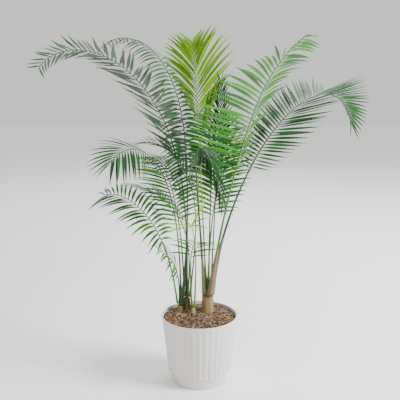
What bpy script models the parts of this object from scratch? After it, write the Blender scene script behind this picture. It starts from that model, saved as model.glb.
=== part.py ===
"""Potted majesty palm: a clump of four short stems in a fluted pot, with nineteen arching fronds.

Lengths are in metres, angles in degrees and shares run from 0 to 1. The pot stands on z = 0, its centre
is the origin, and the front of the plant faces -Y. Each frond is worked out from its own named sizes:
a path that leans and arches, a three-sided rib along it, and two ranks of tapering leaflets.
"""

import math
from typing import NamedTuple

import bmesh
import bpy
from mathutils import Vector
from mathutils.bvhtree import BVHTree

# Clearance between neighbouring pieces
GAP = 0.0003

# Pot: a tapering fluted body on a narrower plain foot, open at the top
POT_HEIGHT = 0.248
RIM_RADIUS = 0.135
RIM_BAND = 0.013
BODY_FOOT_RADIUS = 0.1145
BODY_FOOT_HEIGHT = 0.047
FOOT_TOP_RADIUS = 0.1035
FOOT_TOP_HEIGHT = 0.031
FOOT_RADIUS = 0.0965
FOOT_ROUNDING = 0.007
WALL = 0.0035
FLOOR = 0.006
FLUTES = 36
FLUTE_DEPTH = 0.0022
FLUTE_RUNOUT = 0.004

# Soil: flat in the middle, dished down to the wall
SOIL_LEVEL = 0.243
SOIL_EDGE_LEVEL = 0.2395
SOIL_FLAT_RADIUS = 0.112
SOIL_SIDES = 36

# Stems
STEM_SIDES = 12
FLARE = 1.12
FLARE_HEIGHT = 0.006
LEVEL_END = 0.003

# Ribs and leaflets
RIB_TIP_RADIUS = 0.0014
RIB_TAPER_POWER = 0.7
RIB_STEP = 0.05
STEP_PARTS = 8
SHORTEST_STEP = 0.1
HOOK_POWER = 6
LEAFLET_SPACING = 0.038
LEAFLET_WIDTH = 0.025
LEAFLET_WIDTH_SHARE = 0.19
LEAFLET_ROOT_SHARE = 0.36
LEAFLET_WIDEST = 0.42
LEAFLET_THICKNESS = 0.0017
LEAFLET_THICKNESS_SHARE = 0.0125
TRIMMED_LENGTHS = (1.0, 0.8, 0.62, 0.45)

# Endings of the names of a frond's pieces, by its number of bends
PIECE_SUFFIXES = (("",), ("_lower", "_upper"), ("_lower", "_middle", "_upper"))

UP = Vector((0.0, 0.0, 1.0))

# Colours, as linear red, green and blue
POT_WHITE = (0.68, 0.68, 0.70)
SOIL_BROWN = (0.17, 0.10, 0.055)
STEM_OCHRE = (0.30, 0.22, 0.12)
DEEP_GREEN = (0.035, 0.12, 0.030)
MID_GREEN = (0.075, 0.24, 0.015)
LIME_GREEN = (0.22, 0.46, 0.005)


class Stem(NamedTuple):
    """A short sheathed stem that stands on the soil and holds the feet of its fronds on its top."""

    name: str
    centre: tuple
    lean: tuple
    radius: float
    top: float


STEMS = (
    Stem("stem_right", (0.029, 0.041), (0.002, 0.001), 0.0205, 0.305),
    Stem("stem_middle", (-0.0470, 0.0630), (0.0005, 0.0), 0.0125, 0.285),
    Stem("stem_front", (-0.0230, 0.0240), (0.0005, 0.002), 0.0078, 0.262),
    Stem("stem_left", (-0.0700, 0.0480), (0.0, 0.0), 0.0115, 0.262),
)


class Frond(NamedTuple):
    """One frond. Left and right are seen along its growth, with its upper face up."""

    name: str
    stem: str
    foot: tuple  # where the petiole's line meets the soil, in x and y
    heading: float  # direction in plan, 0 along +X and 90 along +Y
    lean: float  # tilt from upright at the foot
    arch: float  # further tilt reached at the tip
    length: float
    petiole: float  # share of the length that is bare
    left: tuple  # lift of the left rank out of the blade's plane, at its foot and at its tip
    right: tuple  # the same for the right rank
    sweep: tuple  # angle from rib to leaflet, at the blade's foot and at its tip
    leaflet: float  # length of the longest leaflet
    droop: float  # share of its length that a leaflet's tip sags
    swing: float = 0.0  # turn of the heading from foot to tip
    arch_power: float = 2.0  # over 1 keeps the foot straight and bends the end
    hook: float = 0.0  # extra tilt close to the tip
    foot_share: float = 0.6  # lowest leaflets against the longest
    fullest: float = 0.3  # share of the blade where leaflets are longest
    tip_share: float = 0.4  # last leaflets against the longest
    rib: float = 0.0032  # radius of the rib at its foot
    bends: tuple = ()  # shares of the length where the frond is split into pieces
    colour: tuple = MID_GREEN


FRONDS = (
    Frond(
        "frond_left_arch", "stem_left", (-0.0634, 0.0456), heading=-135, swing=-39,
        lean=-8, arch=64, arch_power=1.36, hook=90, length=1.25, petiole=0.455,
        left=(-9, 18), right=(2, -23), sweep=(83, 70), leaflet=0.27, droop=-0.05,
        fullest=0.26, tip_share=0.3, rib=0.0036, bends=(0.46, 0.76), colour=DEEP_GREEN,
    ),
    Frond(
        "frond_left_back", "stem_middle", (-0.0475, 0.0735), heading=135, swing=24,
        lean=-1, arch=109, arch_power=4.4, hook=30, length=1.19, petiole=0.425,
        left=(-9, 0), right=(0, -1), sweep=(81, 70), leaflet=0.13, droop=0.38,
        fullest=0.2, tip_share=0.31, rib=0.0036, bends=(0.72,), colour=DEEP_GREEN,
    ),
    Frond(
        "frond_right_tall", "stem_right", (0.031, 0.042), heading=-70, swing=67,
        lean=15, arch=0, hook=39, length=1.06, petiole=0.53,
        left=(21, -22), right=(51, -1), sweep=(78, 70), leaflet=0.27, droop=0.12,
        fullest=0.43, tip_share=0.49, rib=0.0060, colour=MID_GREEN,
    ),
    Frond(
        "frond_right_arch", "stem_right", (0.035, 0.032), heading=45.6, swing=-1.7,
        lean=7.3, arch=78, arch_power=1.02, hook=80, length=1.33, petiole=0.415,
        left=(-8, 27), right=(-42, 68), sweep=(76, 17), leaflet=0.22, droop=0.0,
        foot_share=0.3, fullest=0.46, tip_share=0.43, rib=0.0058, bends=(0.42, 0.8), colour=DEEP_GREEN,
    ),
    Frond(
        "frond_left_low_arch", "stem_left", (-0.0657, 0.0535), heading=235, swing=8,
        lean=2.3, arch=116, arch_power=2.5, hook=4, length=0.89, petiole=0.75,
        left=(-62, -22), right=(30, 16), sweep=(77, 17), leaflet=0.131, droop=0.2,
        fullest=0.59, tip_share=0.5, bends=(0.74,), colour=DEEP_GREEN,
    ),
    Frond(
        "frond_left_low", "stem_left", (-0.0767, 0.0461), heading=159, swing=-6.5,
        lean=7.7, arch=76, arch_power=1.86, hook=29, length=0.576, petiole=0.453,
        left=(19, -21), right=(-6, 36), sweep=(90, 45), leaflet=0.169, droop=0.26,
        fullest=0.12, tip_share=0.47, bends=(0.44,), colour=MID_GREEN,
    ),
    Frond(
        "frond_top_young", "stem_right", (0.028, 0.046), heading=111, swing=-17,
        lean=7, arch=12, arch_power=1.2, hook=46, length=1.04, petiole=0.678,
        left=(-76, 15), right=(23, 31), sweep=(44, 15), leaflet=0.27, droop=0.2,
        fullest=0.28, tip_share=0.3, colour=LIME_GREEN,
    ),
    Frond(
        "frond_front_droop", "stem_right", (0.022, 0.036), heading=-117, swing=48.5,
        lean=8, arch=150, arch_power=2.36, length=1.11, petiole=0.555,
        left=(-9, -15), right=(-60, -60), sweep=(31, 15), leaflet=0.118, droop=0.18,
        fullest=0.2, tip_share=0.32, rib=0.0050, bends=(0.55, 0.8), colour=DEEP_GREEN,
    ),
    Frond(
        "frond_right_inner", "stem_right", (0.040, 0.050), heading=54.5,
        lean=2.8, arch=7.6, arch_power=1.26, hook=-13.5, length=0.835, petiole=0.61,
        left=(8, 8), right=(8, 8), sweep=(50, 18), leaflet=0.105, droop=0.175,
        fullest=0.43, tip_share=0.5, colour=DEEP_GREEN,
    ),
    Frond(
        "frond_front_lime", "stem_front", (-0.0195, 0.0240), heading=-118, swing=18.5,
        lean=-6.3, arch=69, arch_power=2.93, hook=38, length=0.405, petiole=0.82,
        left=(73, 20), right=(52, 13), sweep=(59, 45), leaflet=0.171, droop=0.16,
        foot_share=0.54, fullest=0.15, tip_share=0.67, colour=LIME_GREEN,
    ),
    Frond(
        "frond_left_small", "stem_middle", (-0.0475, 0.0530), heading=182, swing=-2,
        lean=-5, arch=124, arch_power=2.65, hook=-36, length=0.576, petiole=0.56,
        left=(9, 10), right=(12, 3), sweep=(71, 28), leaflet=0.122, droop=0.2,
        fullest=0.4, tip_share=0.46, bends=(0.55,), colour=MID_GREEN,
    ),
    Frond(
        "frond_foot_small", "stem_left", (-0.0739, 0.0538), heading=201, swing=-5,
        lean=-1.2, arch=69, arch_power=2.58, length=0.261, petiole=0.505,
        left=(-21, -4), right=(16, 27), sweep=(75, 55), leaflet=0.14, droop=0.23,
        fullest=0.24, tip_share=0.37, colour=MID_GREEN,
    ),
    Frond(
        "frond_front_small", "stem_front", (-0.0265, 0.0240), heading=-61, swing=-11.5,
        lean=-6, arch=73, arch_power=3.5, hook=19, length=0.316, petiole=0.66,
        left=(6, -17), right=(22, 25), sweep=(83, 33), leaflet=0.11, droop=0.22,
        fullest=0.24, tip_share=0.44, colour=MID_GREEN,
    ),
    Frond(
        "frond_left_inner", "stem_middle", (-0.0400, 0.0605), heading=170, swing=2,
        lean=-6, arch=101, arch_power=3.5, hook=15, length=0.737, petiole=0.57,
        left=(3, -3), right=(11, 14), sweep=(45, 42), leaflet=0.11, droop=0.08,
        fullest=0.2, tip_share=0.35, bends=(0.62,), colour=DEEP_GREEN,
    ),
    Frond(
        "frond_left_rail", "stem_left", (-0.0702, 0.0410), heading=189, swing=5,
        lean=-6, arch=66, arch_power=3.3, hook=17, length=0.633, petiole=0.616,
        left=(-24, -19), right=(15, 21), sweep=(67, 45), leaflet=0.115, droop=0.19,
        fullest=0.32, tip_share=0.45, colour=DEEP_GREEN,
    ),
    Frond(
        "frond_spear", "stem_right", (0.019, 0.046), heading=27, swing=-2.5,
        lean=-3.7, arch=17, arch_power=3.4, hook=23, length=0.813, petiole=0.79,
        left=(-19, 6), right=(7, 9), sweep=(25, 15), leaflet=0.155, droop=0.12,
        foot_share=0.77, fullest=0.22, tip_share=0.44, colour=LIME_GREEN,
    ),
    Frond(
        "frond_back_centre", "stem_right", (0.033, 0.055), heading=80, swing=10,
        lean=3, arch=100, arch_power=2.2, hook=20, length=0.95, petiole=0.48,
        left=(5, 5), right=(5, 5), sweep=(70, 40), leaflet=0.17, droop=0.2,
        tip_share=0.4, bends=(0.7,), colour=DEEP_GREEN,
    ),
    Frond(
        "frond_back_left", "stem_middle", (-0.0545, 0.0640), heading=110, swing=5,
        lean=4, arch=95, arch_power=2.0, hook=10, length=0.72, petiole=0.45,
        left=(5, 5), right=(5, 5), sweep=(70, 40), leaflet=0.15, droop=0.2,
        bends=(0.65,), colour=MID_GREEN,
    ),
    Frond(
        "frond_back_right", "stem_right", (0.027, 0.040), heading=62, swing=10,
        lean=4, arch=95, arch_power=2.4, hook=10, length=0.78, petiole=0.45,
        left=(5, 5), right=(5, 5), sweep=(70, 40), leaflet=0.15, droop=0.2,
        bends=(0.68,), colour=MID_GREEN,
    ),
)


def clear_scene():
    for item in list(bpy.data.objects):
        bpy.data.objects.remove(item, do_unlink=True)


def new_collection(name):
    collection = bpy.data.collections.new(name)
    bpy.context.scene.collection.children.link(collection)
    return collection


def new_material(name, colour, roughness):
    material = bpy.data.materials.new(name)
    material.use_nodes = True
    shader = material.node_tree.nodes["Principled BSDF"]
    shader.inputs["Base Color"].default_value = (*colour, 1.0)
    shader.inputs["Roughness"].default_value = roughness
    shader.inputs["Metallic"].default_value = 0.0
    return material


def add_object(name, mesh, collection):
    item = bpy.data.objects.new(name, mesh)
    collection.objects.link(item)
    return item


def evaluated_mesh(item):
    """The object's mesh with its modifiers applied, in the object's own frame."""
    bpy.context.view_layer.update()
    graph = bpy.context.evaluated_depsgraph_get()
    return bpy.data.meshes.new_from_object(item.evaluated_get(graph))


def apply_modifiers(item):
    mesh = evaluated_mesh(item)
    mesh.name = item.name
    item.modifiers.clear()
    item.data = mesh


def tidy_faces(mesh):
    """Weld the seams and turn every face outward."""
    work = bmesh.new()
    work.from_mesh(mesh)
    bmesh.ops.remove_doubles(work, verts=work.verts, dist=1e-6)
    bmesh.ops.recalc_face_normals(work, faces=work.faces)
    work.to_mesh(mesh)
    work.free()


def turned(name, profile, sides, collection):
    """A profile of (radius, height) points turned about the Z axis, applied as a mesh."""
    mesh = bpy.data.meshes.new(name)
    points = [(radius, 0.0, height) for radius, height in profile]
    mesh.from_pydata(points, [(i, i + 1) for i in range(len(points) - 1)], [])
    item = add_object(name, mesh, collection)
    screw = item.modifiers.new("Turn", "SCREW")
    screw.steps = sides
    screw.render_steps = sides
    screw.use_merge_vertices = True
    screw.merge_threshold = 0.0001
    apply_modifiers(item)
    tidy_faces(item.data)
    return item


def body_radius(height):
    """Outer radius of the pot's tapering body at a height."""
    rise = (height - BODY_FOOT_HEIGHT) / (POT_HEIGHT - BODY_FOOT_HEIGHT)
    return BODY_FOOT_RADIUS + (RIM_RADIUS - BODY_FOOT_RADIUS) * rise


def cavity_profile(inset):
    """Inside of the pot from its floor's edge up to the rim, moved inward by inset."""
    return [
        (FOOT_TOP_RADIUS - WALL - inset, FLOOR + inset),
        (FOOT_TOP_RADIUS - WALL - inset, FOOT_TOP_HEIGHT + WALL),
        (BODY_FOOT_RADIUS - WALL - inset, BODY_FOOT_HEIGHT + WALL),
    ]


def cut_flutes(mesh, top, bottom):
    """Move every other column of the outer points between two heights inward."""
    column = math.pi / FLUTES
    for vertex in mesh.vertices:
        x, y, z = vertex.co
        radius = math.hypot(x, y)
        outside = radius > body_radius(z) - 0.5 * WALL
        if outside and bottom - GAP < z < top + GAP and round(math.atan2(y, x) / column) % 2:
            vertex.co = Vector((x, y, z)) - Vector((x, y, 0.0)) * (FLUTE_DEPTH / radius)


def build_pot(collection):
    flute_top = POT_HEIGHT - RIM_BAND - FLUTE_RUNOUT
    flute_foot = BODY_FOOT_HEIGHT + FLUTE_RUNOUT
    outside = [
        (RIM_RADIUS, POT_HEIGHT),
        (body_radius(POT_HEIGHT - RIM_BAND), POT_HEIGHT - RIM_BAND),
        (body_radius(flute_top), flute_top),
        (body_radius(flute_foot), flute_foot),
        (BODY_FOOT_RADIUS - FLUTE_RUNOUT, BODY_FOOT_HEIGHT - FLUTE_RUNOUT),
        (FOOT_TOP_RADIUS, FOOT_TOP_HEIGHT),
        (FOOT_RADIUS + FOOT_ROUNDING / 2, FOOT_ROUNDING),
        (FOOT_RADIUS, 0.0),
        (0.0, 0.0),
    ]
    inside = [(0.0, FLOOR)] + cavity_profile(0.0) + [(RIM_RADIUS - WALL, POT_HEIGHT)]
    pot = turned("pot", inside + outside, 2 * FLUTES, collection)
    cut_flutes(pot.data, flute_top, flute_foot)
    pot.data.materials.append(new_material("pot_white_plastic", POT_WHITE, 0.45))
    return pot


def build_soil(collection):
    edge_radius = body_radius(SOIL_EDGE_LEVEL) - WALL - GAP * 2
    top = [(edge_radius, SOIL_EDGE_LEVEL), (SOIL_FLAT_RADIUS, SOIL_LEVEL), (0.0, SOIL_LEVEL)]
    profile = list(reversed([(0.0, FLOOR + GAP)] + cavity_profile(GAP * 2) + top))
    soil = turned("soil", profile, SOIL_SIDES, collection)
    soil.data.materials.append(new_material("soil_bark_mix", SOIL_BROWN, 0.95))
    return soil


def swept(name, points, radii, sides, collection):
    """A closed tapering solid along points, from a curve with filled ends."""
    outline = bpy.data.curves.new(name + "_section", "CURVE")
    outline.dimensions = "2D"
    ring = outline.splines.new("POLY")
    ring.points.add(sides - 1)
    for i, point in enumerate(ring.points):
        angle = 2.0 * math.pi * i / sides
        point.co = (math.cos(angle), math.sin(angle), 0.0, 1.0)
    ring.use_cyclic_u = True
    section = add_object(name + "_section", outline, collection)

    curve = bpy.data.curves.new(name, "CURVE")
    curve.dimensions = "3D"
    curve.bevel_mode = "OBJECT"
    curve.bevel_object = section
    curve.use_fill_caps = True
    spline = curve.splines.new("POLY")
    spline.points.add(len(points) - 1)
    for point, place, radius in zip(spline.points, points, radii):
        point.co = (*place, 1.0)
        point.radius = radius
    guide = add_object(name + "_path", curve, collection)
    mesh = evaluated_mesh(guide)
    mesh.name = name
    bpy.data.objects.remove(guide, do_unlink=True)
    bpy.data.objects.remove(section, do_unlink=True)
    tidy_faces(mesh)
    return add_object(name, mesh, collection)


def build_stem(stem, collection):
    """A leaning stem with a flared foot on the soil, and both its ends flat and level."""
    foot = SOIL_LEVEL + GAP
    rows = (
        (foot, 0.0, FLARE),
        (foot + FLARE_HEIGHT, 0.0, 1.0 + (FLARE - 1.0) / 4),
        (stem.top - LEVEL_END, 1.0, 1.0),
        (stem.top, 1.0, 1.0),
    )
    points = [(stem.centre[0] + stem.lean[0] * lean, stem.centre[1] + stem.lean[1] * lean, height)
              for height, lean, _ in rows]
    radii = [stem.radius * scale for _, _, scale in rows]
    item = swept(stem.name, points, radii, STEM_SIDES, collection)
    item.data.materials.append(new_material(stem.name + "_fibre", STEM_OCHRE, 0.8))
    return item


class Station(NamedTuple):
    """A place on a frond's path, with the directions of growth, left and upper face."""

    place: Vector
    along: Vector
    left: Vector
    face: Vector


def directions(frond, share):
    tilt = frond.lean + frond.arch * share**frond.arch_power + frond.hook * share**HOOK_POWER
    tilt = math.radians(tilt)
    heading = math.radians(frond.heading + frond.swing * share)
    level = Vector((math.cos(heading), math.sin(heading), 0.0))
    along = level * math.sin(tilt) + UP * math.cos(tilt)
    left = Vector((-math.sin(heading), math.cos(heading), 0.0))
    return along, left, along.cross(left)


def frond_path(frond):
    """Stations a rib step apart from the soil to the tip, each step summed from small parts."""
    steps = math.ceil(frond.length / RIB_STEP)
    part = 1.0 / (steps * STEP_PARTS)
    place = Vector((*frond.foot, SOIL_LEVEL))
    along, left, face = directions(frond, 0.0)
    stations = [Station(place, along, left, face)]
    for i in range(1, steps * STEP_PARTS + 1):
        following, left, face = directions(frond, i * part)
        place = place + (along + following) * (0.5 * part * frond.length)
        along = following
        if i % STEP_PARTS == 0:
            stations.append(Station(place, along, left, face))
    return stations


def station_at(path, share):
    """The station at a share of the length, on the straight rib between two stations."""
    spot = min(max(share, 0.0), 1.0) * (len(path) - 1)
    low = min(int(spot), len(path) - 2)
    return Station(*(a.lerp(b, spot - low) for a, b in zip(path[low], path[low + 1])))


def rib_radius(frond, share):
    return frond.rib + (RIB_TIP_RADIUS - frond.rib) * share**RIB_TAPER_POWER


def first_share(frond, path, top):
    """Share of the length where the rib's lower end clears the stem's flat top."""
    share = 0.0
    while share < frond.petiole:
        station = station_at(path, share)
        tilt = math.sqrt(max(0.0, 1.0 - station.along.z**2))
        if station.place.z - rib_radius(frond, share) * tilt > top + GAP:
            break
        share += GAP / 4
    return share


def blade_share(frond, share):
    return (share - frond.petiole) / (1.0 - frond.petiole)


def leaflet_length(frond, along_blade):
    """Longest at the fullest share of the blade, and shorter toward both its ends."""
    if along_blade < frond.fullest:
        fall = 1.0 - along_blade / frond.fullest
        return frond.leaflet * (1.0 - (1.0 - frond.foot_share) * fall**2)
    fall = (along_blade - frond.fullest) / (1.0 - frond.fullest)
    return frond.leaflet * (1.0 - (1.0 - frond.tip_share) * fall**2)


def between(pair, share):
    return pair[0] + (pair[1] - pair[0]) * share


def leaflet_mesh(frond, path, share, side, trim, grow):
    """A long three-sided wedge from the rib's centre line, widest before its middle."""
    station = station_at(path, share)
    along_blade = blade_share(frond, share)
    lift = math.radians(between(frond.left if side > 0 else frond.right, along_blade))
    outward = station.left * (side * math.cos(lift)) + station.face * math.sin(lift)
    sweep = math.radians(between(frond.sweep, along_blade))
    direction = station.along * math.cos(sweep) + outward * math.sin(sweep)
    across = (station.along - direction * station.along.dot(direction)).normalized()
    keel = direction.cross(across) * side
    length = leaflet_length(frond, along_blade) * trim
    half = 0.5 * min(LEAFLET_WIDTH, LEAFLET_WIDTH_SHARE * length)
    thick = max(LEAFLET_THICKNESS, LEAFLET_THICKNESS_SHARE * length)

    def ring(spot, width):
        centre = station.place + direction * (length * spot) - UP * (frond.droop * length * spot**2)
        edge = across * (width + grow)
        return [
            centre + edge + keel * grow,
            centre - edge + keel * grow,
            centre - keel * (thick + grow),
        ]

    tip = station.place + direction * (length + grow) - UP * (frond.droop * length)
    points = ring(0.0, half * LEAFLET_ROOT_SHARE) + ring(LEAFLET_WIDEST, half) + [tip]
    faces = [(2, 1, 0), (3, 4, 6), (4, 5, 6), (5, 3, 6)]
    for i in range(3):
        j = (i + 1) % 3
        faces += [(i, j, j + 3), (i, j + 3, i + 3)]
    return points, faces


def leaflet_shares(frond):
    """Where leaflets stand along the frond: pairs (share, side), the ranks half a spacing apart."""
    blade = frond.length * (1.0 - frond.petiole)
    count = max(4, round(blade / LEAFLET_SPACING))
    for i in range(count):
        for side, offset in ((1, 0.25), (-1, 0.75)):
            yield frond.petiole + (1.0 - frond.petiole) * (i + offset) / count, side


def fuse(item, helpers):
    """Join every object of the helper collection into item and remove the helpers."""
    union = item.modifiers.new("Union", "BOOLEAN")
    union.operation = "UNION"
    union.operand_type = "COLLECTION"
    union.collection = helpers
    union.solver = "MANIFOLD"
    apply_modifiers(item)
    for helper in list(helpers.objects):
        bpy.data.objects.remove(helper, do_unlink=True)
    bpy.data.collections.remove(helpers)


def tree_of(item):
    points = [vertex.co.copy() for vertex in item.data.vertices]
    return BVHTree.FromPolygons(points, [list(face.vertices) for face in item.data.polygons])


def build_rib(name, frond, path, start, end, collection):
    steps = len(path) - 1
    inner = [i / steps for i in range(steps) if start + SHORTEST_STEP / steps < i / steps < end]
    shares = [start, *inner, end]
    points = [station_at(path, share).place for share in shares]
    radii = [rib_radius(frond, share) for share in shares]
    return swept(name, points, radii, 3, collection)


def add_leaflets(frond, path, item, start, end, others):
    """Fuse on the leaflets between two shares that clear every other piece."""
    helpers = new_collection(item.name + "_leaflets")
    added = []
    for share, side in leaflet_shares(frond):
        if not start <= share < end:
            continue
        for trim in TRIMMED_LENGTHS:
            probe = BVHTree.FromPolygons(*leaflet_mesh(frond, path, share, side, trim, 2 * GAP))
            if not any(probe.overlap(tree) for tree in others):
                break
        else:
            continue
        points, faces = leaflet_mesh(frond, path, share, side, trim, 0.0)
        mesh = bpy.data.meshes.new(item.name + "_leaflet")
        mesh.from_pydata(points, [], faces)
        tidy_faces(mesh)
        add_object(item.name + "_leaflet", mesh, helpers)
        added.append(share)
    if added:
        fuse(item, helpers)
    else:
        bpy.data.collections.remove(helpers)


def build_fronds(collection, fixed):
    """Every rib first, so that no leaflet is put through one, then the leaflets frond by frond."""
    tops = {stem.name: stem.top for stem in STEMS}
    pieces = []
    for frond in FRONDS:
        path = frond_path(frond)
        material = new_material(frond.name + "_leaf", frond.colour, 0.5)
        steps = len(path) - 1
        bends = [(int(bend * steps) + 0.5) / steps for bend in frond.bends]
        cuts = (first_share(frond, path, tops[frond.stem]), *bends, 1.0)
        for suffix, start, end in zip(PIECE_SUFFIXES[len(bends)], cuts, cuts[1:]):
            low = start + (GAP / frond.length if start > cuts[0] else 0.0)
            rib = build_rib(frond.name + suffix, frond, path, low, end, collection)
            rib.data.materials.append(material)
            pieces.append((frond, path, rib, start, end))
    trees = {piece[2].name: tree_of(piece[2]) for piece in pieces}
    for frond, path, item, start, end in pieces:
        others = [tree for name, tree in trees.items() if name != item.name]
        add_leaflets(frond, path, item, start, end, others + fixed)
        trees[item.name] = tree_of(item)


def main():
    clear_scene()
    collection = new_collection("potted_majesty_palm")
    fixed = [tree_of(build_pot(collection)), tree_of(build_soil(collection))]
    fixed += [tree_of(build_stem(stem, collection)) for stem in STEMS]
    build_fronds(collection, fixed)


main()
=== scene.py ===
"""Looks of a potted majesty palm: a fluted white pot, bark soil, sheathed stems and feathery fronds."""

import math
from typing import NamedTuple

import bpy
import numpy as np
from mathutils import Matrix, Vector


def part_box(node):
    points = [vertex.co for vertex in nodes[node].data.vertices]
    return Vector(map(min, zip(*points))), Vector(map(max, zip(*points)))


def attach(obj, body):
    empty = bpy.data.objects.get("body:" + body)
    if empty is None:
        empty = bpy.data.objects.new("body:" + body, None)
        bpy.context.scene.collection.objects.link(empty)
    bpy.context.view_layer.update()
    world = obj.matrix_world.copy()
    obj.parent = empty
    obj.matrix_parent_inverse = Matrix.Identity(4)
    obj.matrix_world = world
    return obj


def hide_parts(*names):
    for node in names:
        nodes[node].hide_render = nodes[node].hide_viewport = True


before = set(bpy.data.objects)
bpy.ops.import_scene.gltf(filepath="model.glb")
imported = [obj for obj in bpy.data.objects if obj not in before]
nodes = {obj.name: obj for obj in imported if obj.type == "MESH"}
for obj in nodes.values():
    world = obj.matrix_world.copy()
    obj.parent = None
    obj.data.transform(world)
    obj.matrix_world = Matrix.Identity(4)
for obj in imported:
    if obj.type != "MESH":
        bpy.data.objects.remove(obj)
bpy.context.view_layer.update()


# Camera, floor and light
# A pale matt floor under soft light from the right, seen from standing height in front of the plant.
# The camera's distance, height and tilt were worked out from the ellipses of the pot's rim and foot.
CAMERA_PLACE = (0.002, -2.5, 1.2616)
CAMERA_DOWN = math.radians(13.316)
CAMERA_LENS = 66.67
SENSOR_WIDTH = 36.0
FLOOR_HALF = 7.0
LIGHT_TARGET = Vector((0.0, 0.0, 0.6))
LIGHTS = (  # name, place, width and power
    ("key_light", (3.2, -1.0, 2.4), 1.5, 300.0),
    ("fill_light", (-2.6, -2.4, 2.0), 2.4, 18.0),
    ("back_light", (0.8, 2.6, 2.6), 2.0, 70.0),
)
WORLD_STRENGTH = 0.95


def linear(hex_colour):
    """Linear red, green, blue and alpha of an sRGB hex colour such as 7A5C3E."""
    values = [int(hex_colour[i : i + 2], 16) / 255 for i in (0, 2, 4)]
    return (*[v / 12.92 if v <= 0.04045 else ((v + 0.055) / 1.055) ** 2.4 for v in values], 1.0)


def plain_material(name, hex_colour, roughness):
    """A Principled material of one colour and roughness, for nodes to be added to."""
    material = bpy.data.materials.new(name)
    material.use_nodes = True
    shader = material.node_tree.nodes["Principled BSDF"]
    shader.inputs["Base Color"].default_value = linear(hex_colour)
    shader.inputs["Roughness"].default_value = roughness
    return material


def mesh_object(name, points, faces):
    """An object at the origin, with its place in its mesh."""
    mesh = bpy.data.meshes.new(name)
    mesh.from_pydata([tuple(point) for point in points], [], faces)
    piece = bpy.data.objects.new(name, mesh)
    bpy.context.scene.collection.objects.link(piece)
    return piece


floor_corners = [(FLOOR_HALF * x, FLOOR_HALF * y, 0.0) for x, y in ((-1, -1), (1, -1), (1, 1), (-1, 1))]
floor = mesh_object("floor", floor_corners, [(0, 1, 2, 3)])
floor.data.materials.append(plain_material("studio_floor_matt_paint", "FFFFFF", 0.85))

camera = bpy.data.objects.new("camera", bpy.data.cameras.new("camera"))
camera.location = CAMERA_PLACE
camera.rotation_euler = (math.pi / 2 - CAMERA_DOWN, 0.0, 0.0)
camera.data.lens = CAMERA_LENS
camera.data.sensor_width = SENSOR_WIDTH
bpy.context.scene.collection.objects.link(camera)
bpy.context.scene.camera = camera

for light_name, place, size, power in LIGHTS:
    lamp = bpy.data.lights.new(light_name, "AREA")
    lamp.size = size
    lamp.energy = power
    light = bpy.data.objects.new(light_name, lamp)
    light.location = place
    light.rotation_euler = (LIGHT_TARGET - Vector(place)).to_track_quat("-Z", "Y").to_euler()
    bpy.context.scene.collection.objects.link(light)

world = bpy.data.worlds.new("pale_studio")
world.use_nodes = True
sky = world.node_tree.nodes["Background"]
sky.inputs["Color"].default_value = linear("F4F4F2")
sky.inputs["Strength"].default_value = WORLD_STRENGTH
bpy.context.scene.world = world


# Pot
# A round tapering planter of satin white plastic, moulded in one piece, with fine upright flutes between
# a plain rim band and a plain foot. Its skin runs from inside the rounded rim down to the underside, as
# rings of points whose radius dips in each flute.
POT_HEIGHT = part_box("pot")[1][2]
RIM_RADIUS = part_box("pot")[1][0]
RIM_BAND = 0.013
RIM_STEPS = 8
POT_WALL = 0.0035
INNER_RADIUS = RIM_RADIUS - POT_WALL
INNER_TAPER = 0.0012
INNER_DEPTH = 0.03
BODY_FOOT_RADIUS = 0.1145
BODY_FOOT_HEIGHT = 0.047
BODY_STEPS = 7
FLUTES = 36
FLUTE_DEPTH = 0.0024
FLUTE_ROUNDNESS = 0.8
FLUTE_RUNOUT = 0.005
RUNOUT_STEPS = 6
RIM_BAND_EDGE = 0.001
COLUMNS_PER_FLUTE = 12
LEDGE_STEPS = 7
LEDGE_SHARE = 0.55
LEDGE_POWER = 1.3
FOOT_TOP_RADIUS = 0.1035
FOOT_TOP_HEIGHT = 0.031
FOOT_TOP_INSET = 0.0008
FOOT_RADIUS = 0.0965
FOOT_FLARE = 0.0045
FOOT_FLARE_RISE = 0.004
FOOT_ROUNDING = 0.007
FOOT_ROUNDING_INSET = 0.003
FOOT_ROUNDING_REACH = 0.0065
FOOT_STEPS = 6
UNDERSIDE_INSET = 0.02


def body_radius(height):
    rise = (height - BODY_FOOT_HEIGHT) / (POT_HEIGHT - BODY_FOOT_HEIGHT)
    return BODY_FOOT_RADIUS + (RIM_RADIUS - BODY_FOOT_RADIUS) * rise


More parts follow.
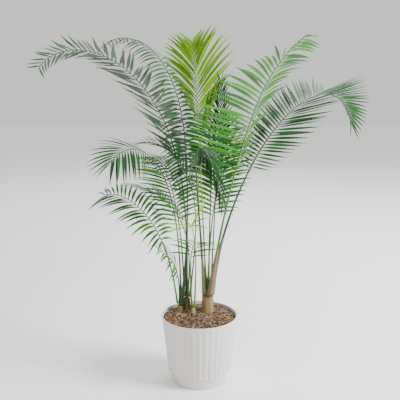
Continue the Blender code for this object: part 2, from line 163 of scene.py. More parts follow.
def pot_rows():
    """Rows of (radius, height, flute share) over the rim and down the outside to the underside."""
    edge = POT_WALL / 2
    edge_height = POT_HEIGHT - edge
    rows = [(INNER_RADIUS - INNER_TAPER, POT_HEIGHT - INNER_DEPTH, 0.0), (INNER_RADIUS, edge_height, 0.0)]
    for i in range(1, RIM_STEPS):
        turn = math.pi * i / RIM_STEPS
        rows.append((RIM_RADIUS - edge - edge * math.cos(turn), edge_height + edge * math.sin(turn), 0.0))
    rows.append((RIM_RADIUS, edge_height, 0.0))

    top = POT_HEIGHT - RIM_BAND
    foot = BODY_FOOT_HEIGHT + FLUTE_RUNOUT
    rows.append((body_radius(top + RIM_BAND_EDGE), top + RIM_BAND_EDGE, 0.0))
    for i in range(1, RUNOUT_STEPS + 1):
        height = top - FLUTE_RUNOUT * i / RUNOUT_STEPS
        rows.append((body_radius(height), height, math.sin(math.pi / 2 * i / RUNOUT_STEPS)))
    for i in range(1, BODY_STEPS + 1):
        height = top - FLUTE_RUNOUT + (foot - top + FLUTE_RUNOUT) * i / BODY_STEPS
        rows.append((body_radius(height), height, 1.0))
    for i in range(1, RUNOUT_STEPS + 1):
        height = foot - FLUTE_RUNOUT * i / RUNOUT_STEPS
        rows.append((body_radius(height), height, math.cos(math.pi / 2 * i / RUNOUT_STEPS)))

    drop = (BODY_FOOT_HEIGHT - FOOT_TOP_HEIGHT) * LEDGE_SHARE
    for i in range(1, LEDGE_STEPS + 1):
        turn = math.pi / 2 * i / LEDGE_STEPS
        radius = FOOT_TOP_RADIUS + (BODY_FOOT_RADIUS - FOOT_TOP_RADIUS) * math.cos(turn)
        rows.append((radius, BODY_FOOT_HEIGHT - drop * (1 - (1 - math.sin(turn)) ** LEDGE_POWER), 0.0))
    rows.append((FOOT_TOP_RADIUS - FOOT_TOP_INSET, FOOT_TOP_HEIGHT, 0.0))
    rows.append((FOOT_RADIUS + FOOT_FLARE, FOOT_ROUNDING + FOOT_FLARE_RISE, 0.0))
    for i in range(1, FOOT_STEPS + 1):
        turn = math.pi / 2 * i / FOOT_STEPS
        radius = FOOT_RADIUS - FOOT_ROUNDING_INSET + FOOT_ROUNDING_REACH * math.cos(turn)
        rows.append((radius, FOOT_ROUNDING * (1 - math.sin(turn)), 0.0))
    rows.append((FOOT_RADIUS - UNDERSIDE_INSET, 0.0, 0.0))
    return rows


def pot_mesh():
    """A ring of points for each row, joined by quads, and a fan that closes the underside."""
    columns = FLUTES * COLUMNS_PER_FLUTE
    points = []
    for radius, height, flute in pot_rows():
        for i in range(columns):
            angle = 2 * math.pi * i / columns
            groove = FLUTE_DEPTH * flute * (1 - abs(math.cos(FLUTES * angle / 2)) ** FLUTE_ROUNDNESS)
            reach = radius - groove
            points.append((reach * math.cos(angle), reach * math.sin(angle), height))
    rows = len(points) // columns
    faces = []
    for j in range(rows - 1):
        for i in range(columns):
            k = (i + 1) % columns
            faces.append((j * columns + i, (j + 1) * columns + i, (j + 1) * columns + k, j * columns + k))
    points.append((0.0, 0.0, 0.0))
    for i in range(columns):
        faces.append(((rows - 1) * columns + i, len(points) - 1, (rows - 1) * columns + (i + 1) % columns))
    return points, faces


def add_node(tree, kind, settings=None, inputs=None):
    """A node with its properties set, its inputs filled with values or linked to sockets."""
    node = tree.nodes.new(kind)
    for key, value in (settings or {}).items():
        setattr(node, key, value)
    for key, value in (inputs or {}).items():
        if isinstance(value, bpy.types.NodeSocket):
            tree.links.new(value, node.inputs[key])
        else:
            node.inputs[key].default_value = value
    return node


def add_noise(tree, place, scale, detail):
    """A noise value over the places of a vector socket."""
    inputs = {"Vector": place, "Scale": scale, "Detail": detail}
    return add_node(tree, "ShaderNodeTexNoise", inputs=inputs).outputs["Fac"]


def add_relief(tree, height, strength, distance):
    """Bump from a value socket, linked to the shader."""
    inputs = {"Strength": strength, "Distance": distance, "Height": height}
    bump = add_node(tree, "ShaderNodeBump", inputs=inputs)
    tree.links.new(bump.outputs["Normal"], tree.nodes["Principled BSDF"].inputs["Normal"])


def moulded_plastic(name, hex_colour):
    """Satin ABS: a moulded surface, very slightly uneven, with a soft wide gloss."""
    material = plain_material(name, hex_colour, 0.42)
    tree = material.node_tree
    place = add_node(tree, "ShaderNodeTexCoord").outputs["Object"]
    add_relief(tree, add_noise(tree, place, 900.0, 3.0), 0.08, 0.0004)
    mottle = add_noise(tree, place, 14.0, 4.0)
    gloss = add_node(tree, "ShaderNodeMapRange", inputs={"Value": mottle, "To Min": 0.36, "To Max": 0.5})
    tree.links.new(gloss.outputs["Result"], tree.nodes["Principled BSDF"].inputs["Roughness"])
    return material


pot = mesh_object("fluted_pot", *pot_mesh())
pot.data.materials.append(moulded_plastic("satin_abs_moulded", "D0CDCB"))
pot.data.shade_smooth()
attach(pot, "root")
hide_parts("pot")


# Soil
# Coarse potting mix of composted bark that fills the pot to just under its rim. A rough base, a little
# higher in the middle, shows between loose chips, which are flat seeded boxes that lie on it at all angles.
SOIL_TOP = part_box("soil")[1][2]
SOIL_RADIUS = INNER_RADIUS - INNER_TAPER
SOIL_RINGS = 26
SOIL_COLUMNS = 96
SOIL_DROP = 0.0035
SOIL_MOUND = 0.0024
SOIL_DISH = 0.004
SOIL_DISH_POWER = 4
SOIL_ROUGHNESS = 0.0011
SOIL_WAVES = (190, 160)  # radians a metre along X and Y
SOIL_BENDS = (120, 90)  # the same for the waves' own bends
SOIL_BEND_DEPTHS = (2, 3)
CHIP_TONES = ("8A6A4C", "6B4E36", "A58562", "4A3526", "B49A78")
CHIP_COUNT = 2600
CHIP_SIZE = 0.0052
CHIP_LENGTHS = (0.35, 1.0)
CHIP_WIDTHS = (0.35, 0.7)
CHIP_THICKNESSES = (0.16, 0.32)
CHIP_UNEVENNESS = (0.7, 1.2)
CHIP_TILT = 0.5
CHIP_RISE = 0.0012
CHIP_HIGHEST = SOIL_TOP + 0.004
CHIP_MARGIN = 0.006
BOX_FACES = ((0, 1, 3, 2), (4, 6, 7, 5), (0, 4, 5, 1), (2, 3, 7, 6), (0, 2, 6, 4), (1, 5, 7, 3))
CHIP_SEED = 11
rng = np.random.default_rng(CHIP_SEED)


def soil_height(x, y):
    """Height of the base: a low mound, dished at the wall, with crossed waves for its roughness."""
    share = min(1.0, math.hypot(x, y) / SOIL_RADIUS)
    bend_x = SOIL_BEND_DEPTHS[0] * math.sin(SOIL_BENDS[0] * x)
    bend_y = SOIL_BEND_DEPTHS[1] * math.sin(SOIL_BENDS[1] * y)
    waves = math.sin(SOIL_WAVES[0] * x + bend_y) * math.cos(SOIL_WAVES[1] * y + bend_x)
    mound = SOIL_MOUND * (1 - share) - SOIL_DISH * share**SOIL_DISH_POWER
    return SOIL_TOP - SOIL_DROP + mound + SOIL_ROUGHNESS * waves


def soil_mesh():
    """Rings of points round a middle one."""
    points = [(0.0, 0.0, soil_height(0.0, 0.0))]
    faces = []
    for j in range(1, SOIL_RINGS + 1):
        radius = SOIL_RADIUS * j / SOIL_RINGS
        for i in range(SOIL_COLUMNS):
            angle = 2 * math.pi * i / SOIL_COLUMNS
            x, y = radius * math.cos(angle), radius * math.sin(angle)
            points.append((x, y, soil_height(x, y)))
    for i in range(SOIL_COLUMNS):
        faces.append((0, 1 + i, 1 + (i + 1) % SOIL_COLUMNS))
    for j in range(SOIL_RINGS - 1):
        for i in range(SOIL_COLUMNS):
            a = 1 + j * SOIL_COLUMNS + i
            b = 1 + j * SOIL_COLUMNS + (i + 1) % SOIL_COLUMNS
            faces.append((a, a + SOIL_COLUMNS, b + SOIL_COLUMNS, b))
    return points, faces


def scaled(hex_colour, factor):
    """The linear colour made darker or paler by a factor."""
    return (*[min(1.0, factor * v) for v in linear(hex_colour)[:3]], 1.0)


def add_mix(tree, share, low, high):
    """A blend from the colour low to the colour high, by a value socket."""
    mix = add_node(tree, "ShaderNodeMix", {"data_type": "RGBA"}, {0: share, 6: low, 7: high})
    return mix.outputs[2]


def mottled(name, hex_colour, roughness, scale, detail, dark, relief=None):
    """A dull natural material that noise darkens, down to the factor dark, and roughens.

    The scale is the noise's along X, Y and Z, and a low last number draws it out into upright strands.
    The relief is the strength and distance of the bump.
    """
    material = plain_material(name, hex_colour, roughness)
    tree = material.node_tree
    place = add_node(tree, "ShaderNodeTexCoord").outputs["Object"]
    stretched = add_node(tree, "ShaderNodeMapping", inputs={"Vector": place, "Scale": scale})
    noise = add_noise(tree, stretched.outputs["Vector"], 1.0, detail)
    colour = add_mix(tree, noise, scaled(hex_colour, dark), linear(hex_colour))
    tree.links.new(colour, tree.nodes["Principled BSDF"].inputs["Base Color"])
    if relief:
        add_relief(tree, noise, *relief)
    return material


def bark(name, hex_colour, scale):
    """Composted bark: matt, with fine dark grain and a broken surface."""
    return mottled(name, hex_colour, 0.92, (scale, scale, scale), 6.0, 0.45, (0.6, 0.001))


def random_turn(tilt):
    """A turn by any heading and by up to tilt radians out of level."""
    heading = rng.uniform(0, 2 * math.pi)
    lean = rng.uniform(-tilt, tilt)
    roll = rng.uniform(-tilt, tilt)
    c, s = math.cos(heading), math.sin(heading)
    about_z = np.array([[c, -s, 0], [s, c, 0], [0, 0, 1]])
    c, s = math.cos(lean), math.sin(lean)
    about_y = np.array([[c, 0, s], [0, 1, 0], [-s, 0, c]])
    c, s = math.cos(roll), math.sin(roll)
    about_x = np.array([[1, 0, 0], [0, c, -s], [0, s, c]])
    return about_z @ about_y @ about_x


def chip_corners(size, centre, turn):
    """Corners of a flat box, each moved at random so that no chip is square."""
    corners = np.array([[x, y, z] for x in (-1, 1) for y in (-1, 1) for z in (-1, 1)], float)
    corners *= size
    corners *= rng.uniform(*CHIP_UNEVENNESS, corners.shape)
    return corners @ turn.T + centre


def scatter_chips():
    """Points, faces and tone numbers of all the chips."""
    points, faces, tones = [], [], []
    for _ in range(CHIP_COUNT):
        radius = (SOIL_RADIUS - CHIP_MARGIN) * math.sqrt(rng.uniform())
        angle = rng.uniform(0, 2 * math.pi)
        x, y = radius * math.cos(angle), radius * math.sin(angle)
        length = CHIP_SIZE * rng.uniform(*CHIP_LENGTHS)
        size = length * np.array([1.0, rng.uniform(*CHIP_WIDTHS), rng.uniform(*CHIP_THICKNESSES)])
        centre = np.array([x, y, min(soil_height(x, y) + CHIP_RISE, CHIP_HIGHEST)])
        start = len(points)
        points.extend(chip_corners(size, centre, random_turn(CHIP_TILT)))
        faces.extend([tuple(start + i for i in face) for face in BOX_FACES])
        tones.extend([int(rng.integers(len(CHIP_TONES)))] * len(BOX_FACES))
    return points, faces, tones


soil = mesh_object("soil_base", *soil_mesh())
soil.data.materials.append(bark("composted_bark_fines", "5E4633", 420.0))
soil.data.shade_smooth()
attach(soil, "root")
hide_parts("soil")

chip_points, chip_faces, chip_tones = scatter_chips()
chips = mesh_object("soil_bark_chips", chip_points, chip_faces)
for number, tone in enumerate(CHIP_TONES):
    chips.data.materials.append(bark(f"bark_chip_{number}", tone, 700.0))
chips.data.polygons.foreach_set("material_index", chip_tones)
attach(chips, "root")


# Fronds
# Each frond is a smooth green rib with two ranks of long waxy leaflets, which are folded strips that sag
# at their thin tips. All grow by one rule: the rib leans and arches along its length, and the leaflets
# shorten toward both ends of the blade.
SOIL_LEVEL = 0.243
HOOK_POWER = 6
RIB_TIP_RADIUS = 0.0014
RIB_TAPER_POWER = 0.7


class Frond(NamedTuple):
    """One frond. Left and right are seen along its growth, with its upper face up."""

    name: str
    stem: str
    foot: tuple  # where the petiole's line meets the soil, in x and y
    heading: float  # direction in plan, 0 along +X and 90 along +Y
    lean: float  # tilt from upright at the foot
    arch: float  # further tilt reached at the tip
    length: float
    petiole: float  # share of the length that is bare
    left: tuple  # lift of the left rank out of the blade's plane, at its foot and at its tip
    right: tuple  # the same for the right rank
    sweep: tuple  # angle from rib to leaflet, at the blade's foot and at its tip
    leaflet: float  # length of the longest leaflet
    droop: float  # share of its length that a leaflet's tip sags
    swing: float = 0.0  # turn of the heading from foot to tip
    arch_power: float = 2.0  # over 1 keeps the foot straight and bends the end
    hook: float = 0.0  # extra tilt close to the tip
    foot_share: float = 0.6  # lowest leaflets against the longest
    fullest: float = 0.3  # share of the blade where leaflets are longest
    tip_share: float = 0.4  # last leaflets against the longest
    rib: float = 0.0032  # radius of the rib at its foot
    kind: str = "mid"  # its greens: lime is young, mid and deep are older


FRONDS = (
    Frond(
        "frond_left_arch", "stem_left", (-0.0634, 0.0456), heading=-135, swing=-39,
        lean=-8, arch=64, arch_power=1.36, hook=90, length=1.25, petiole=0.455,
        left=(-9, 18), right=(2, -23), sweep=(83, 70), leaflet=0.27, droop=-0.05,
        fullest=0.26, tip_share=0.3, rib=0.0036, kind="deep",
    ),
    Frond(
        "frond_left_back", "stem_middle", (-0.0475, 0.0735), heading=135, swing=24,
        lean=-1, arch=109, arch_power=4.4, hook=30, length=1.19, petiole=0.425,
        left=(-9, 0), right=(0, -1), sweep=(81, 70), leaflet=0.13, droop=0.38,
        fullest=0.2, tip_share=0.31, rib=0.0036, kind="deep",
    ),
    Frond(
        "frond_right_tall", "stem_right", (0.031, 0.042), heading=-70, swing=67,
        lean=15, arch=0, hook=39, length=1.06, petiole=0.53,
        left=(21, -22), right=(51, -1), sweep=(78, 70), leaflet=0.27, droop=0.12,
        fullest=0.43, tip_share=0.49, rib=0.0060, kind="mid",
    ),
    Frond(
        "frond_right_arch", "stem_right", (0.035, 0.032), heading=45.6, swing=-1.7,
        lean=7.3, arch=78, arch_power=1.02, hook=80, length=1.33, petiole=0.415,
        left=(-8, 27), right=(-42, 68), sweep=(76, 17), leaflet=0.22, droop=0.0,
        foot_share=0.3, fullest=0.46, tip_share=0.43, rib=0.0058, kind="deep",
    ),
    Frond(
        "frond_left_low_arch", "stem_left", (-0.0657, 0.0535), heading=235, swing=8,
        lean=2.3, arch=116, arch_power=2.5, hook=4, length=0.89, petiole=0.75,
        left=(-62, -22), right=(30, 16), sweep=(77, 17), leaflet=0.131, droop=0.2,
        fullest=0.59, tip_share=0.5, kind="deep",
    ),
    Frond(
        "frond_left_low", "stem_left", (-0.0767, 0.0461), heading=159, swing=-6.5,
        lean=7.7, arch=76, arch_power=1.86, hook=29, length=0.576, petiole=0.453,
        left=(19, -21), right=(-6, 36), sweep=(90, 45), leaflet=0.169, droop=0.26,
        fullest=0.12, tip_share=0.47, kind="mid",
    ),
    Frond(
        "frond_top_young", "stem_right", (0.028, 0.046), heading=111, swing=-17,
        lean=7, arch=12, arch_power=1.2, hook=46, length=1.04, petiole=0.678,
        left=(-76, 15), right=(23, 31), sweep=(44, 15), leaflet=0.27, droop=0.2,
        fullest=0.28, tip_share=0.3, kind="lime",
    ),
    Frond(
        "frond_front_droop", "stem_right", (0.022, 0.036), heading=-117, swing=48.5,
        lean=8, arch=150, arch_power=2.36, length=1.11, petiole=0.555,
        left=(-9, -15), right=(-60, -60), sweep=(31, 15), leaflet=0.118, droop=0.18,
        fullest=0.2, tip_share=0.32, rib=0.0050, kind="deep",
    ),
    Frond(
        "frond_right_inner", "stem_right", (0.040, 0.050), heading=54.5,
        lean=2.8, arch=7.6, arch_power=1.26, hook=-13.5, length=0.835, petiole=0.61,
        left=(8, 8), right=(8, 8), sweep=(50, 18), leaflet=0.105, droop=0.175,
        fullest=0.43, tip_share=0.5, kind="deep",
    ),
    Frond(
        "frond_front_lime", "stem_front", (-0.0195, 0.0240), heading=-118, swing=18.5,
        lean=-6.3, arch=69, arch_power=2.93, hook=38, length=0.405, petiole=0.82,
        left=(73, 20), right=(52, 13), sweep=(59, 45), leaflet=0.171, droop=0.16,
        foot_share=0.54, fullest=0.15, tip_share=0.67, kind="lime",
    ),
    Frond(
        "frond_left_small", "stem_middle", (-0.0475, 0.0530), heading=182, swing=-2,
        lean=-5, arch=124, arch_power=2.65, hook=-36, length=0.576, petiole=0.56,
        left=(9, 10), right=(12, 3), sweep=(71, 28), leaflet=0.122, droop=0.2,
        fullest=0.4, tip_share=0.46, kind="mid",
    ),
    Frond(
        "frond_foot_small", "stem_left", (-0.0739, 0.0538), heading=201, swing=-5,
        lean=-1.2, arch=69, arch_power=2.58, length=0.261, petiole=0.505,
        left=(-21, -4), right=(16, 27), sweep=(75, 55), leaflet=0.14, droop=0.23,
        fullest=0.24, tip_share=0.37, kind="mid",
    ),
    Frond(
        "frond_front_small", "stem_front", (-0.0265, 0.0240), heading=-61, swing=-11.5,
        lean=-6, arch=73, arch_power=3.5, hook=19, length=0.316, petiole=0.66,
        left=(6, -17), right=(22, 25), sweep=(83, 33), leaflet=0.11, droop=0.22,
        fullest=0.24, tip_share=0.44, kind="mid",
    ),
    Frond(
        "frond_left_inner", "stem_middle", (-0.0400, 0.0605), heading=170, swing=2,
        lean=-6, arch=101, arch_power=3.5, hook=15, length=0.737, petiole=0.57,
        left=(3, -3), right=(11, 14), sweep=(45, 42), leaflet=0.11, droop=0.08,
        fullest=0.2, tip_share=0.35, kind="deep",
    ),
    Frond(
        "frond_left_rail", "stem_left", (-0.0702, 0.0410), heading=189, swing=5,
        lean=-6, arch=66, arch_power=3.3, hook=17, length=0.633, petiole=0.616,
        left=(-24, -19), right=(15, 21), sweep=(67, 45), leaflet=0.115, droop=0.19,
        fullest=0.32, tip_share=0.45, kind="deep",
    ),
    Frond(
        "frond_spear", "stem_right", (0.019, 0.046), heading=27, swing=-2.5,
        lean=-3.7, arch=17, arch_power=3.4, hook=23, length=0.813, petiole=0.79,
        left=(-19, 6), right=(7, 9), sweep=(25, 15), leaflet=0.155, droop=0.12,
        foot_share=0.77, fullest=0.22, tip_share=0.44, kind="lime",
    ),
    Frond(
        "frond_back_centre", "stem_right", (0.033, 0.055), heading=80, swing=10,
        lean=3, arch=100, arch_power=2.2, hook=20, length=0.95, petiole=0.48,
        left=(5, 5), right=(5, 5), sweep=(70, 40), leaflet=0.17, droop=0.2,
        tip_share=0.4, kind="deep",
    ),
    Frond(
        "frond_back_left", "stem_middle", (-0.0545, 0.0640), heading=110, swing=5,
        lean=4, arch=95, arch_power=2.0, hook=10, length=0.72, petiole=0.45,
        left=(5, 5), right=(5, 5), sweep=(70, 40), leaflet=0.15, droop=0.2,
        kind="mid",
    ),
    Frond(
        "frond_back_right", "stem_right", (0.027, 0.040), heading=62, swing=10,
        lean=4, arch=95, arch_power=2.4, hook=10, length=0.78, petiole=0.45,
        left=(5, 5), right=(5, 5), sweep=(70, 40), leaflet=0.15, droop=0.2,
        kind="mid",
    ),
)

PATH_STATIONS = 61
STEM_GAP = 0.0003
RIB_RINGS = 56
RIB_SIDES = 8
RIB_SQUASH = 0.85
FOOT_SWELL = 0.55
FOOT_SWELL_LENGTH = 0.11
LEAFLET_SPACING = 0.0148
LEAFLET_OFFSETS = ((1, 0.25), (-1, 0.75))  # side, and place within a pair's stretch of the rib
FEWEST_PAIRS = 6
LEAFLET_STATIONS = 9
LEAFLET_WIDTH = {"lime": 0.0128, "mid": 0.0112, "deep": 0.0122}
LEAFLET_WIDTH_SHARE = 0.082
LEAFLET_ROOT_WIDTH = 0.25
LEAFLET_ROOT_SPREAD = 2.6
LEAFLET_TAPER_START = 0.3
LEAFLET_TAPER_POWER = 1.7
LEAFLET_FOLD = 0.30
LEAFLET_VEINS = 75.0  # radians of ripple across a leaflet
LIFT_SCATTER = 2.5
SWEEP_SCATTER = 2.0
TWIST_SCATTER = 0.12
LENGTH_SCATTER = (0.93, 1.0)
DROOP_SCATTER = (0.9, 1.1)
FIRST_FROND_SEED = 100
NODE_ENDS = ("", "_lower", "_middle", "_upper")
LEAF_TONES = {
    "lime": ("78B000", "689C00", "8CC004", "5C9000"),
    "mid": ("287000", "206200", "328006", "185202"),
    "deep": ("104608", "0C3C0A", "185216", "225E26"),
}
LEAF_SHEEN = {"lime": 0.03, "mid": 0.03, "deep": 0.12}
RIB_TONES = {"lime": "74A412", "mid": "3A7A10", "deep": "2A5216"}


def frond_path(frond):
    """Shares, places, directions of growth, left and upper face along the frond."""
    share = np.linspace(0.0, 1.0, PATH_STATIONS)
    tilt = np.radians(frond.lean + frond.arch * share**frond.arch_power + frond.hook * share**HOOK_POWER)
    heading = np.radians(frond.heading + frond.swing * share)
    along = np.stack([np.sin(tilt) * np.cos(heading), np.sin(tilt) * np.sin(heading), np.cos(tilt)], -1)
    left = np.stack([-np.sin(heading), np.cos(heading), np.zeros(PATH_STATIONS)], -1)
    step = frond.length / (PATH_STATIONS - 1)
    place = np.concatenate([[np.zeros(3)], np.cumsum((along[1:] + along[:-1]) / 2, 0) * step])
    return share, place + np.array([*frond.foot, SOIL_LEVEL]), along, left, np.cross(along, left)


def reading(path, share):
    """Place, growth, left and face at one share of the length."""
    return [np.array([np.interp(share, path[0], values[:, i]) for i in range(3)]) for values in path[1:]]


def first_share_above(path, height):
    return path[0][path[1][:, 2] > height][0]


def rib_radius(frond, share):
    return frond.rib + (RIB_TIP_RADIUS - frond.rib) * share**RIB_TAPER_POWER


def tube(path, shares, radii, sides, squash=1.0):
    """A closed tube along a path, with a ring of each radius at its share of the length."""
    points = []
    for share, radius in zip(shares, radii):
        place, _, left, up = reading(path, share)
        for i in range(sides):
            angle = 2 * math.pi * i / sides
            across, over = radius * math.cos(angle), squash * radius * math.sin(angle)
            points.append(place + left * across + up * over)
    faces = []
    for j in range(len(shares) - 1):
        for i in range(sides):
            k = (i + 1) % sides
            faces.append((j * sides + i, (j + 1) * sides + i, (j + 1) * sides + k, j * sides + k))
    faces.append(tuple(range(sides)))
    faces.append(tuple(range(len(points) - 1, len(points) - 1 - sides, -1)))
    return points, faces


def rib_mesh(frond, path):
    """The rib from just over its stem to its tip, swollen at the foot."""
    start = first_share_above(path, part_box(frond.stem)[1][2] + STEM_GAP)
    shares = np.linspace(start, 1.0, RIB_RINGS)
    radii = []
    for share in shares:
        swell = FOOT_SWELL * math.exp(-(share - start) * frond.length / FOOT_SWELL_LENGTH)
        radii.append(rib_radius(frond, share) * (1.0 + swell))
    return tube(path, shares, radii, RIB_SIDES, RIB_SQUASH)


def between(pair, share):
    return pair[0] + (pair[1] - pair[0]) * share


def leaflet_length(frond, along_blade):
    """Length of the leaflets, which falls off in a curve to both sides of the fullest place."""
    if along_blade < frond.fullest:
        fall = 1.0 - along_blade / frond.fullest
        return frond.leaflet * (1.0 - (1.0 - frond.foot_share) * fall**2)
    fall = (along_blade - frond.fullest) / (1.0 - frond.fullest)
    return frond.leaflet * (1.0 - (1.0 - frond.tip_share) * fall**2)


def leaflet_width(spot):
    """Width along a leaflet against its widest: pinched at the rib, broad, then a long taper."""
    root = min(1.0, LEAFLET_ROOT_WIDTH + LEAFLET_ROOT_SPREAD * spot)
    taper = max(0.0, (spot - LEAFLET_TAPER_START) / (1.0 - LEAFLET_TAPER_START)) ** LEAFLET_TAPER_POWER
    return root * max(0.0, 1.0 - taper)


def leaflet_points(frond, path, share, side, draw):
    """Rows of left edge, midrib and right edge from the rib to the leaflet's tip."""
    place, along, left, up = reading(path, share)
    along_blade = (share - frond.petiole) / (1.0 - frond.petiole)
    rank = frond.left if side > 0 else frond.right
    lift = math.radians(between(rank, along_blade) + draw.normal(0, LIFT_SCATTER))
    outward = left * (side * math.cos(lift)) + up * math.sin(lift)
    sweep = math.radians(between(frond.sweep, along_blade) + draw.normal(0, SWEEP_SCATTER))
    direction = along * math.cos(sweep) + outward * math.sin(sweep)
    level = along - direction * along.dot(direction)
    level /= np.linalg.norm(level)
    upright = np.cross(direction, level) * side
    twist = draw.normal(0, TWIST_SCATTER)
    across = level * math.cos(twist) + upright * math.sin(twist)
    keel = upright * math.cos(twist) - level * math.sin(twist)
    length = leaflet_length(frond, along_blade) * draw.uniform(*LENGTH_SCATTER)
    half = 0.5 * min(LEAFLET_WIDTH[frond.kind], LEAFLET_WIDTH_SHARE * length)
    droop = frond.droop * draw.uniform(*DROOP_SCATTER)
    rows = []
    for i in range(LEAFLET_STATIONS):
        spot = i / (LEAFLET_STATIONS - 1)
        centre = place + direction * (length * spot) - np.array([0, 0, 1.0]) * (droop * length * spot**2)
        width = half * leaflet_width(spot)
        fold = LEAFLET_FOLD * width
        rows.append((centre + across * width - keel * fold, centre, centre - across * width - keel * fold))
    return rows


def leaflets_mesh(frond, path, draw):
    """Points, faces, tone numbers and texture places of both ranks, whose leaflets alternate."""
    points, faces, tones, texture = [], [], [], []
    count = max(FEWEST_PAIRS, round(frond.length * (1.0 - frond.petiole) / LEAFLET_SPACING))
    for number in range(count):
        for side, offset in LEAFLET_OFFSETS:
            share = frond.petiole + (1.0 - frond.petiole) * (number + offset) / count
            start = len(points)
            for i, row in enumerate(leaflet_points(frond, path, share, side, draw)):
                points.extend(row)
                texture.extend([(across, i / (LEAFLET_STATIONS - 1)) for across in (0.0, 0.5, 1.0)])
            tone = int(draw.integers(len(LEAF_TONES[frond.kind])))
            for i in range(LEAFLET_STATIONS - 1):
                for j in (0, 1):
                    a = start + 3 * i + j
                    quad = (a, a + 1, a + 4, a + 3)
                    faces.append(quad if side > 0 else quad[::-1])
                    tones.append(tone)
    return points, faces, tones, texture


def add_math(tree, operation, *values):
    """The result of a maths node over values or sockets."""
    return add_node(tree, "ShaderNodeMath", {"operation": operation}, dict(enumerate(values))).outputs[0]


def leaf_blade(name, hex_colour, sheen):
    """Palm leaflet: a waxy satin blade, unevenly green, with fine parallel veins a millimetre apart."""
    material = plain_material(name, hex_colour, 0.5)
    tree = material.node_tree
    shader = tree.nodes["Principled BSDF"]
    shader.inputs["Specular IOR Level"].default_value = 0.22
    shader.inputs["Coat Weight"].default_value = sheen
    shader.inputs["Coat Roughness"].default_value = 0.35
    leaf_place = add_node(tree, "ShaderNodeUVMap", {"uv_map": "leaf"}).outputs["UV"]
    across = add_node(tree, "ShaderNodeSeparateXYZ", inputs={"Vector": leaf_place}).outputs["X"]
    stripes = add_math(tree, "SINE", add_math(tree, "MULTIPLY", across, LEAFLET_VEINS))
    noise = add_noise(tree, add_node(tree, "ShaderNodeTexCoord").outputs["Object"], 22.0, 3.0)
    pale = scaled(hex_colour, 1.25)
    uneven = add_mix(tree, noise, scaled(hex_colour, 0.66), pale)
    veined = add_mix(tree, add_math(tree, "MULTIPLY_ADD", stripes, 0.07, 0.08), uneven, pale)
    tree.links.new(veined, shader.inputs["Base Color"])
    add_relief(tree, stripes, 0.25, 0.0005)
    return material


def rib_skin(name, hex_colour):
    """Petiole: smooth satin green rind with long darker streaks."""
    return mottled(name, hex_colour, 0.5, (160.0, 160.0, 14.0), 4.0, 0.5)


leaf_materials = {}
for kind, tones in LEAF_TONES.items():
    leaf_materials[kind] = [
        leaf_blade(f"palm_leaflet_{kind}_{i}", tone, LEAF_SHEEN[kind]) for i, tone in enumerate(tones)
    ]
rib_materials = {kind: rib_skin(f"petiole_rind_{kind}", tone) for kind, tone in RIB_TONES.items()}

for frond_number, frond in enumerate(FRONDS):
    path = frond_path(frond)
    draw = np.random.default_rng(FIRST_FROND_SEED + frond_number)
    points, faces, tones, texture = leaflets_mesh(frond, path, draw)
    leaflets = mesh_object(frond.name + "_leaflets", points, faces)
    for material in leaf_materials[frond.kind]:
        leaflets.data.materials.append(material)
    leaflets.data.polygons.foreach_set("material_index", tones)
    leaf_map = leaflets.data.uv_layers.new(name="leaf")
    loops = leaflets.data.loops
    leaf_map.data.foreach_set("uv", [value for loop in loops for value in texture[loop.vertex_index]])
    leaflets.data.shade_smooth()
    own_nodes = [frond.name + end for end in NODE_ENDS if frond.name + end in nodes]
    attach(leaflets, "root")
    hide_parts(*own_nodes)

    rib = mesh_object(frond.name + "_rib", *rib_mesh(frond, path))
    rib.data.materials.append(rib_materials[frond.kind])
    rib.data.shade_smooth()
    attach(rib, "root")


# Stems
# Short stems of matt brown fibre, which the bases of old fronds leave behind. Each is a tube of rings
# between the corners of its solid, a little wider at the foot, with low seeded ridges that wind up it.
STEM_NAMES = ("stem_right", "stem_middle", "stem_front", "stem_left")
STEM_TONES = ("A28A5E", "7E6A4A", "B8A67C")
STEM_SIDES = 48
STEM_RINGS = 22
STEM_SINK = 0.002
STEM_TOP_SHARE = 0.9
STEM_FLARE = 0.1
STEM_FLARE_POWER = 3
RIDGE_COUNTS = (3, 5, 7)
RIDGE_HEIGHT = 0.018
RIDGE_WINDING = 1.8
FIRST_STEM_SEED = 40


def sheath_fibre(name, hex_colour):
    """Dry palm fibre: matt strands that run up the stem, a millimetre or two apart."""
    return mottled(name, hex_colour, 0.85, (420.0, 420.0, 22.0), 5.0, 0.35, (0.7, 0.0015))


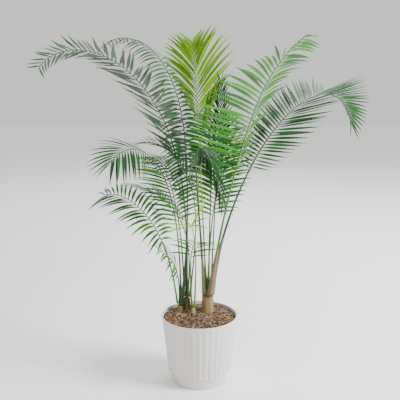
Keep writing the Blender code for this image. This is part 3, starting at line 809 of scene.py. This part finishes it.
def stem_mesh(low, high, seed):
    """A ridged tapering stem between the corners of its solid, with a flat top."""
    phases = np.random.default_rng(seed).uniform(0, 2 * math.pi, len(RIDGE_COUNTS))
    centre_x, centre_y = (low[0] + high[0]) / 2, (low[1] + high[1]) / 2
    radius = (high[0] - low[0]) / 2
    foot = low[2] - STEM_SINK
    points, faces = [], []
    for j in range(STEM_RINGS + 1):
        rise = j / STEM_RINGS
        for i in range(STEM_SIDES):
            angle = 2 * math.pi * i / STEM_SIDES
            winding = RIDGE_WINDING * rise
            ridges = sum(math.cos(n * angle + phase + winding) for n, phase in zip(RIDGE_COUNTS, phases))
            flare = STEM_FLARE * (1 - rise) ** STEM_FLARE_POWER
            reach = radius * (STEM_TOP_SHARE + flare + RIDGE_HEIGHT * ridges)
            place = (centre_x + reach * math.cos(angle), centre_y + reach * math.sin(angle))
            points.append((*place, foot + (high[2] - foot) * rise))
    for j in range(STEM_RINGS):
        for i in range(STEM_SIDES):
            a, b = j * STEM_SIDES + i, j * STEM_SIDES + (i + 1) % STEM_SIDES
            faces.append((a, b, b + STEM_SIDES, a + STEM_SIDES))
    faces.append(tuple(range(STEM_RINGS * STEM_SIDES, (STEM_RINGS + 1) * STEM_SIDES)))
    return points, faces


stem_materials = [sheath_fibre(f"dry_palm_fibre_{i}", tone) for i, tone in enumerate(STEM_TONES)]
for stem_number, stem_name in enumerate(STEM_NAMES):
    low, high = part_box(stem_name)
    stem = mesh_object(stem_name + "_sheathed", *stem_mesh(low, high, FIRST_STEM_SEED + stem_number))
    stem.data.materials.append(stem_materials[stem_number % len(stem_materials)])
    stem.data.shade_smooth()
    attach(stem, "root")
    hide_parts(stem_name)


# Sheaths
# The feet of seven fronds are wrapped in sheaths of dry palm fibre, brown, grey or yellow-green, which
# taper into the petioles a hand's breadth above the stem. Each is a tube round its frond's rib.
SHEATHS = {  # radius at the foot, length along the rib and colour
    "frond_right_tall": (0.0125, 0.19, "8C7A62"),
    "frond_right_arch": (0.0130, 0.21, "7F6F5C"),
    "frond_front_droop": (0.0090, 0.15, "7E8A5E"),
    "frond_top_young": (0.0080, 0.12, "8B8A55"),
    "frond_left_back": (0.0062, 0.13, "6E6066"),
    "frond_left_arch": (0.0060, 0.10, "5E7040"),
    "frond_left_inner": (0.0055, 0.09, "A5A440"),
}
SHEATH_RINGS = 14
SHEATH_SIDES = 16
SHEATH_SINK = 0.004
SHEATH_TAPER_POWER = 0.8

for frond in FRONDS:
    if frond.name not in SHEATHS:
        continue
    foot_radius, reach, tone = SHEATHS[frond.name]
    path = frond_path(frond)
    start = first_share_above(path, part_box(frond.stem)[1][2] - SHEATH_SINK)
    shares = np.linspace(start, start + reach / frond.length, SHEATH_RINGS)
    radii = []
    for i, share in enumerate(shares):
        taper = (i / (SHEATH_RINGS - 1)) ** SHEATH_TAPER_POWER
        radii.append(foot_radius + (rib_radius(frond, share) - foot_radius) * taper)
    sheath = mesh_object(frond.name + "_sheath", *tube(path, shares, radii, SHEATH_SIDES))
    sheath.data.materials.append(sheath_fibre("papery_sheath_" + frond.name, tone))
    sheath.data.shade_smooth()
    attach(sheath, "root")
